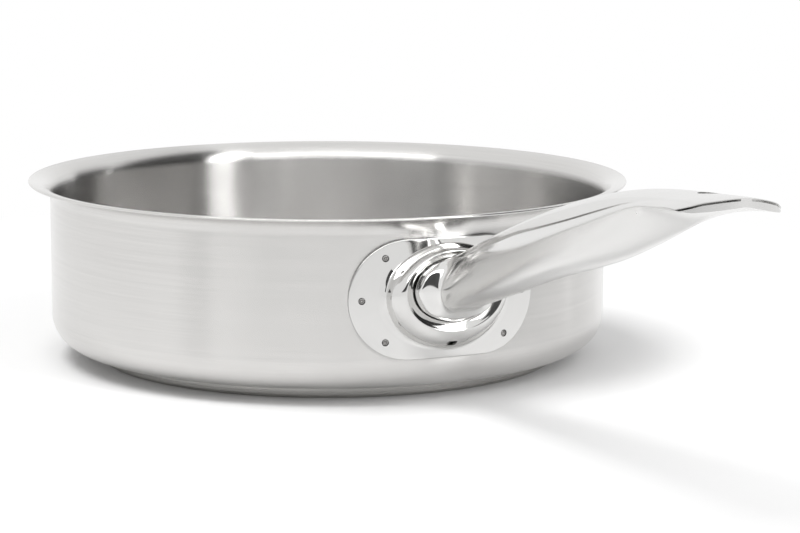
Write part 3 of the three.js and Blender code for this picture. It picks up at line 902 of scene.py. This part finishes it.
def tint(nodes, links, factor, first, second):
    """A colour between two, by a factor."""
    node = nodes.new("ShaderNodeMix")
    node.data_type = "RGBA"
    links.new(factor, node.inputs["Factor"])
    node.inputs["A"].default_value = (*first, 1)
    node.inputs["B"].default_value = (*second, 1)
    return node.outputs["Result"]


def painted_shade(nodes, links, color, share, amount):
    """A colour darkened by painted shade to an amount of itself as a share grows to one."""
    scale = nodes.new("ShaderNodeVectorMath")
    scale.operation = "SCALE"
    links.new(color, scale.inputs["Vector"])
    links.new(ramp(nodes, links, share, 0, 1, 1, amount), scale.inputs["Scale"])
    return scale.outputs["Vector"]


def bump(nodes, links, shader, height, distance, strength):
    node = nodes.new("ShaderNodeBump")
    node.inputs["Distance"].default_value = distance * MM
    node.inputs["Strength"].default_value = strength
    links.new(height, node.inputs["Height"])
    links.new(node.outputs["Normal"], shader.inputs["Normal"])


def turned_tangent(nodes, links, shader, amount):
    """Stretches reflections across brushing that runs round the Z axis."""
    tangent = nodes.new("ShaderNodeTangent")
    tangent.direction_type = "RADIAL"
    tangent.axis = "Z"
    links.new(tangent.outputs["Tangent"], shader.inputs["Tangent"])
    shader.inputs["Anisotropic"].default_value = amount
    shader.inputs["Anisotropic Rotation"].default_value = QUARTER_TURN


def place(nodes):
    """Places on the object, in metres in the part's frame."""
    return nodes.new("ShaderNodeTexCoord").outputs["Object"]


def axes(nodes, links):
    """The three coordinates of a place on the object."""
    split = nodes.new("ShaderNodeSeparateXYZ")
    links.new(place(nodes), split.inputs["Vector"])
    return split.outputs


def joined(nodes, links, *values):
    """A vector from up to three coordinates."""
    join = nodes.new("ShaderNodeCombineXYZ")
    for value, socket in zip(values, join.inputs):
        links.new(value, socket)
    return join.outputs["Vector"]


def stretched(nodes, links, vector, scale):
    """A vector stretched by a scale along each axis."""
    node = nodes.new("ShaderNodeVectorMath")
    node.operation = "MULTIPLY"
    node.inputs[1].default_value = scale
    links.new(vector, node.inputs[0])
    return node.outputs["Vector"]


def length(nodes, links, vector):
    node = nodes.new("ShaderNodeVectorMath")
    node.operation = "LENGTH"
    links.new(vector, node.inputs[0])
    return node.outputs["Value"]


def axis_distance(nodes, links):
    """How far a place on the pan is from its upright axis."""
    return length(nodes, links, stretched(nodes, links, place(nodes), (1, 1, 0)))


def round_place(nodes, links, along, across):
    """Coordinates for brushing round the Z axis: slow along the brushing, quick across it."""
    split = axes(nodes, links)
    depth = math_node(nodes, links, "ADD", axis_distance(nodes, links), split["Z"])
    vector = joined(nodes, links, split["X"], split["Y"], depth)
    return stretched(nodes, links, vector, (along, along, across))


def inside_pan(nodes, links):
    """Where the pan's painted shade falls: one on the inner face of the body's floor, corner and wall, and
    nought on its outer face.
    """
    corner_radius = (WALL_RADIUS - CORNER_RADIUS) * MM
    corner_height = (BODY_BOTTOM + CORNER_RADIUS) * MM
    past = math_node(nodes, links, "SUBTRACT", axis_distance(nodes, links), corner_radius)
    below = math_node(nodes, links, "SUBTRACT", corner_height, axes(nodes, links)["Z"])
    past = math_node(nodes, links, "MAXIMUM", past, 0)
    below = math_node(nodes, links, "MAXIMUM", below, 0)
    depth = length(nodes, links, joined(nodes, links, past, below))
    middle = CORNER_RADIUS - BODY_SHEET / 2
    return ramp(nodes, links, depth, (middle - INSIDE_PAINTED_SHADE_BLEND) * MM, (middle + INSIDE_PAINTED_SHADE_BLEND) * MM, 1, 0)


def brushed_steel():
    """Body sheet: fine brushing round the wall, with long faint streaks and cloudy patches, and painted
    shade on its inner face.
    """
    material, nodes, links, shader = new_material("brushed_body_steel", BODY_TINT[0], BODY_ROUGHNESS[0])
    fine = noise(nodes, links, round_place(nodes, links, along=25, across=5200), scale=1, detail=3)
    long = noise(nodes, links, round_place(nodes, links, along=6, across=900), scale=1, detail=4)
    cloud = noise(nodes, links, place(nodes), scale=18, detail=3)
    long = math_node(nodes, links, "MULTIPLY", long, LONG_STREAKS)
    fine = ramp(nodes, links, fine, 0.3, 0.7, 0, FINE_STREAKS)
    streaks = math_node(nodes, links, "ADD", long, fine)
    color = tint(nodes, links, streaks, *BODY_TINT)
    # Painted shade: the inner face of the pan is painted darker than its outer face
    color = painted_shade(nodes, links, color, inside_pan(nodes, links), INSIDE_PAINTED_SHADE)
    links.new(color, shader.inputs["Base Color"])
    links.new(ramp(nodes, links, cloud, 0.35, 0.65, *BODY_ROUGHNESS), shader.inputs["Roughness"])
    bump(nodes, links, shader, streaks, distance=0.02, strength=0.2)
    turned_tangent(nodes, links, shader, 1)
    return material


def base_steel():
    """Base cap: turned steel, a little darker, with a faint warm bloom from heat."""
    material, nodes, links, shader = new_material("turned_base_steel", BASE_TINT[0], BASE_ROUGHNESS[0])
    fine = noise(nodes, links, round_place(nodes, links, along=12, across=3600), scale=1, detail=3)
    bloom = noise(nodes, links, place(nodes), scale=25, detail=4)
    links.new(tint(nodes, links, bloom, *BASE_TINT), shader.inputs["Base Color"])
    links.new(ramp(nodes, links, fine, 0.3, 0.7, *BASE_ROUGHNESS), shader.inputs["Roughness"])
    bump(nodes, links, shader, fine, distance=0.03, strength=0.3)
    turned_tangent(nodes, links, shader, 0.5)
    return material


def polished_steel():
    """Plate: mirror polish with faint smears and fine wiping marks, and painted shade darkening its rounded
    edge and back.
    """
    material, nodes, links, shader = new_material("polished_plate_steel", PLATE_TINT[0], PLATE_ROUGHNESS[0])
    smear = noise(nodes, links, place(nodes), scale=70, detail=5)
    wipe = noise(nodes, links, stretched(nodes, links, place(nodes), (300, 300, 2600)), scale=1, detail=2)
    links.new(ramp(nodes, links, smear, 0.35, 0.75, *PLATE_ROUGHNESS), shader.inputs["Roughness"])
    color = tint(nodes, links, smear, *PLATE_TINT)
    # Painted shade: the plate's rounded edge and its back against the wall are painted darker
    low, high = [(WALL_RADIUS + PLATE_OUT - depth) * MM for depth in CUT_EDGE_PAINTED_SHADE_DEPTHS]
    edge = ramp(nodes, links, axis_distance(nodes, links), low, high, 1, 0)
    links.new(painted_shade(nodes, links, color, edge, CUT_EDGE_PAINTED_SHADE), shader.inputs["Base Color"])
    bump(nodes, links, shader, wipe, distance=0.004, strength=0.15)
    return material


def satin_steel():
    """Handle: smooth satin with a grain along its length and uneven gloss, polished at its flange."""
    material, nodes, links, shader = new_material("satin_handle_steel", HANDLE_TINT[0], POLISH_ROUGHNESS)
    grain = noise(nodes, links, stretched(nodes, links, place(nodes), (160, 2600, 2600)), scale=1, detail=3)
    cloud = noise(nodes, links, place(nodes), scale=30, detail=4)
    links.new(tint(nodes, links, cloud, *HANDLE_TINT), shader.inputs["Base Color"])
    satin = ramp(nodes, links, cloud, 0.3, 0.7, *SATIN_ADDED_ROUGHNESS)
    along = ramp(nodes, links, axes(nodes, links)["X"], POLISH_TO * MM, SATIN_FROM * MM)
    satin = math_node(nodes, links, "MULTIPLY", along, satin)
    links.new(math_node(nodes, links, "ADD", satin, POLISH_ROUGHNESS), shader.inputs["Roughness"])
    bump(nodes, links, shader, grain, distance=0.01, strength=0.2)
    return material


def weld_steel():
    """Spot welds: grey pressed metal, mottled from dark to mid grey by a fine grain."""
    material, nodes, links, shader = new_material("weld_steel", WELD_TINT[0], WELD_ROUGHNESS)
    grain = noise(nodes, links, place(nodes), scale=900, detail=3)
    links.new(tint(nodes, links, grain, *WELD_TINT), shader.inputs["Base Color"])
    bump(nodes, links, shader, grain, distance=0.03, strength=0.4)
    return material


def plain_aluminium():
    """Base disc: plain rolled aluminium."""
    plain = (ALUMINIUM_TINT[0], ALUMINIUM_ROUGHNESS)
    material, nodes, links, shader = new_material("rolled_aluminium", *plain)
    grain = noise(nodes, links, stretched(nodes, links, place(nodes), (60, 1800, 60)), scale=1, detail=3)
    links.new(tint(nodes, links, grain, *ALUMINIUM_TINT), shader.inputs["Base Color"])
    bump(nodes, links, shader, grain, distance=0.02, strength=0.2)
    return material


def make_camera():
    camera = bpy.data.cameras.new("camera")
    camera.lens = CAMERA_LENS
    camera.sensor_width = CAMERA_SENSOR
    camera.sensor_fit = "HORIZONTAL"
    camera.clip_end = CAMERA_REACH
    obj = bpy.data.objects.new("camera", camera)
    turn = Matrix.Rotation(math.radians(CAMERA_HEADING), 4, "Z")
    tilt = Matrix.Rotation(math.radians(90 - CAMERA_DOWN), 4, "X")
    roll = Matrix.Rotation(math.radians(CAMERA_ROLL), 4, "Z")
    obj.matrix_world = Matrix.Translation(Vector(CAMERA_AT) * MM) @ turn @ tilt @ roll
    bpy.context.scene.collection.objects.link(obj)
    bpy.context.scene.camera = obj


def seen_directly(nodes, links):
    """One for rays from the camera, from gloss and through glass, and nought for the light they gather."""
    path = nodes.new("ShaderNodeLightPath").outputs
    seen = math_node(nodes, links, "MAXIMUM", path["Is Camera Ray"], path["Is Glossy Ray"])
    return math_node(nodes, links, "MAXIMUM", seen, path["Is Transmission Ray"])


def make_floor():
    """A wide white floor that takes the pan's shadow, and is seen as plain white away from it."""
    bm = bmesh.new()
    bmesh.ops.create_grid(bm, x_segments=2, y_segments=2, size=FLOOR_HALF_SIZE)
    floor = make_object("floor", bm)
    material, nodes, links, shader = matt_material("white_floor", FLOOR_WHITE)
    away = ramp(nodes, links, length(nodes, links, place(nodes)), FLOOR_NEAR, FLOOR_FAR)
    share = math_node(nodes, links, "MULTIPLY", away, seen_directly(nodes, links))
    white = nodes.new("ShaderNodeEmission")
    mix = nodes.new("ShaderNodeMixShader")
    links.new(share, mix.inputs["Fac"])
    links.new(shader.outputs["BSDF"], mix.inputs[1])
    links.new(white.outputs["Emission"], mix.inputs[2])
    links.new(mix.outputs["Shader"], nodes["Material Output"].inputs["Surface"])
    floor.data.materials.append(material)


def make_screen(name, start, end, low, first_top, last_top, grey):
    """A dark curved screen of the studio, which only the metal shows."""
    bm = bmesh.new()
    rows = []
    for i in range(SCREEN_STEPS + 1):
        angle = math.radians(lerp(start, end, i / SCREEN_STEPS))
        foot = Vector((SCREEN_DISTANCE * math.cos(angle), SCREEN_DISTANCE * math.sin(angle), 0))
        top = lerp(first_top, last_top, i / SCREEN_STEPS)
        rows.append([bm.verts.new(foot + Vector((0, 0, height))) for height in (low, top)])
    for left, right in zip(rows, rows[1:]):
        bm.faces.new((left[0], right[0], right[1], left[1]))
    screen = make_object(name, bm)
    screen.data.materials.append(matt_material(name, grey)[0])
    screen.visible_camera = False
    screen.visible_diffuse = False
    screen.visible_shadow = False


def make_world():
    """Even white surroundings, dimmer as light than as what is seen."""
    world = bpy.data.worlds.new("studio")
    bpy.context.scene.world = world
    world.use_nodes = True
    nodes = world.node_tree.nodes
    links = world.node_tree.links
    background = nodes["Background"]
    background.inputs["Color"].default_value = (1, 1, 1, 1)
    level = ramp(nodes, links, seen_directly(nodes, links), 0, 1, WORLD_LIGHT, 1)
    links.new(level, background.inputs["Strength"])


def make_lamp(name, at, size, power, in_metal, on_floor):
    """A soft rectangular lamp that faces the pan."""
    light = bpy.data.lights.new(name, "AREA")
    light.shape = "RECTANGLE"
    light.size, light.size_y = size
    light.energy = power
    obj = bpy.data.objects.new(name, light)
    direction = Vector(LAMP_AIM) - Vector(at)
    obj.matrix_world = Matrix.Translation(at) @ direction.to_track_quat("-Z", "Y").to_matrix().to_4x4()
    obj.visible_glossy = in_metal
    obj.visible_diffuse = on_floor
    bpy.context.scene.collection.objects.link(obj)


def make_studio():
    make_camera()
    make_floor()
    make_world()
    for number, screen in enumerate(SCREENS):
        make_screen(f"screen_{number + 1}", *screen)
    for name, lamp in LAMPS.items():
        make_lamp(name, *lamp)
    bpy.context.scene.view_settings.view_transform = "Standard"


def make_pan():
    """The finished pieces; the hidden disc and flange welds keep their solids and get a material."""
    weld_material = weld_steel()
    dress(pan_body(), brushed_steel(), "body_steel", "pan_body")
    dress(base_cap(), base_steel(), "base_steel", "base_cap")
    dress(handle_plate(), polished_steel(), "plate_steel", "handle_plate")
    dress(handle(), satin_steel(), "handle_steel", "handle")
    for i, (side, up) in enumerate(PLATE_WELDS):
        weld = plate_weld(f"spot_{i + 1}", side, up)
        dress(weld, weld_material, "weld_steel", f"plate_weld_{i + 1}")
    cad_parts["base_core"].data.materials[0] = plain_aluminium()
    for name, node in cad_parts.items():
        if name.startswith("flange_weld"):
            node.data.materials[0] = weld_material


make_studio()
make_pan()
